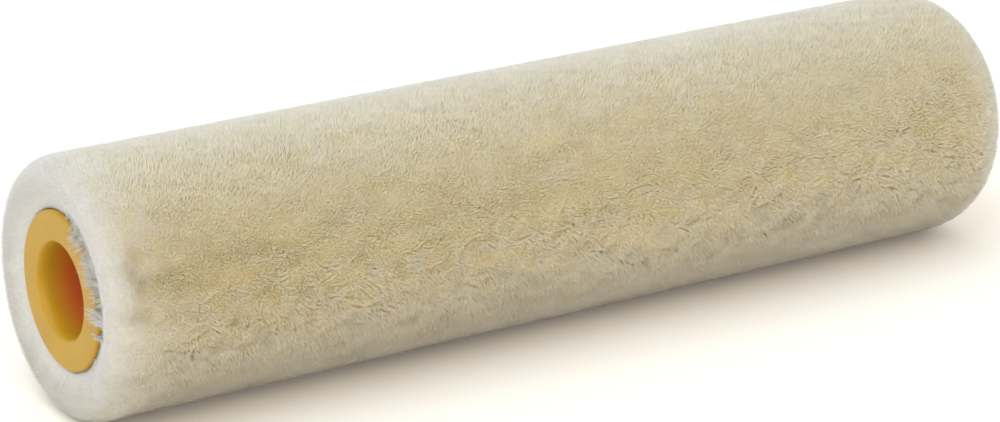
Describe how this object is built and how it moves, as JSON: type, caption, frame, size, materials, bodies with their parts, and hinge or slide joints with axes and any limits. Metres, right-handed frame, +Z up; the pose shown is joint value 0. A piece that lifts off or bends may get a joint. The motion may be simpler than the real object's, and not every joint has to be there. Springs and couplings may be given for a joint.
{
  "type": "paint roller",
  "caption": "Mini paint roller refill: a core tube with a short cream plush pile, rounded at the ends, and a yellow plug whose bore takes the rod of a frame.",
  "frame": {"origin": "centre of the overall box, on the roller's axis, halfway along it", "axes": "+X along the axis towards the closed plug, so the open plug with the rod bore faces -X; +Z up; the section is round, so +Y has no side of its own"},
  "size_m": [0.1016, 0.0244, 0.0244],
  "materials": {
    "core_tube": "smooth extruded plastic",
    "backing": "plain weave",
    "pile": "short cut plush, soft and matt",
    "yellow_plastic": "moulded, satin, slightly translucent"
  },
  "bodies": {
    "root": {"core_tube": "core_tube", "pile_backing": "backing", "pile": "pile", "end_plug_open": "yellow_plastic", "end_plug_closed": "yellow_plastic"}
  },
  "joints": []
}
